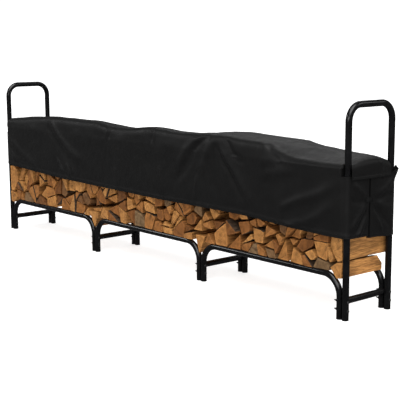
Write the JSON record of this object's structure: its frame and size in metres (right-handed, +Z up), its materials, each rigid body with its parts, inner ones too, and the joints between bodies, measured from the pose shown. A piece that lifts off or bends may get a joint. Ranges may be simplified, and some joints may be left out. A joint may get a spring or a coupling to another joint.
{
  "type": "firewood log rack",
  "caption": "Long bolted steel-tube firewood rack with arched ends, stacked with split logs under a fitted fabric cover whose front and back lift.",
  "frame": {"origin": "on the ground under the middle of the rack", "axes": "+X along the rack to its right end, -Y is the front, +Z up"},
  "size_m": [3.683, 0.431, 1.199],
  "materials": {
    "powder_coat": "satin black powder coat",
    "black_fasteners": "black zinc",
    "foot_plastic": "moulded black plastic",
    "cover_cloth": "black coated woven polyester",
    "webbing": "black polyester webbing",
    "split_wood": "dry split firewood with bark"
  },
  "bodies": {
    "rack": {"carriage_bolts": "black_fasteners", "crossbar_left_end": "powder_coat", "crossbar_left_inner": "powder_coat", "crossbar_right_end": "powder_coat", "crossbar_right_inner": "powder_coat", "crossbar_tabs": "powder_coat", "end_logs": "split_wood", "front_rail_left": "powder_coat", "front_rail_middle": "powder_coat", "front_rail_right": "powder_coat", "hoop_foot_caps": "foot_plastic", "left_hoop": "powder_coat", "logs_left_lower": "split_wood", "logs_left_upper": "split_wood", "logs_middle_lower": "split_wood", "logs_middle_upper": "split_wood", "logs_right_lower": "split_wood", "logs_right_upper": "split_wood", "nuts": "black_fasteners", "rail_foot_caps": "foot_plastic", "rear_rail_left": "powder_coat", "rear_rail_middle": "powder_coat", "rear_rail_right": "powder_coat", "right_hoop": "powder_coat", "top_logs": "split_wood", "valley_logs": "split_wood", "washers": "black_fasteners"},
    "cover": {"cover_top": "cover_cloth", "cover_tongue_left": "cover_cloth", "cover_tongue_right": "cover_cloth", "leg_straps": "webbing"},
    "front_cover": {"cover_skirt_front": "cover_cloth", "cover_flap_front_left": "cover_cloth", "cover_flap_front_right": "cover_cloth", "cover_closure_tabs": "webbing"},
    "back_cover": {"cover_skirt_back": "cover_cloth", "cover_flap_back_left": "cover_cloth", "cover_flap_back_right": "cover_cloth"}
  },
  "joints": [
    {"name": "cover_lift", "type": "slide", "parent": "rack", "child": "cover", "axis": [0, 0, 1], "range_m": [0, 0.15]},
    {"name": "front_cover_lift", "type": "hinge", "parent": "cover", "child": "front_cover", "pos_m": [0, -0.2, 0.855], "axis": [-1, 0, 0], "range_deg": [0, 110]},
    {"name": "back_cover_lift", "type": "hinge", "parent": "cover", "child": "back_cover", "pos_m": [0, 0.2, 0.855], "axis": [1, 0, 0], "range_deg": [0, 110]}
  ]
}
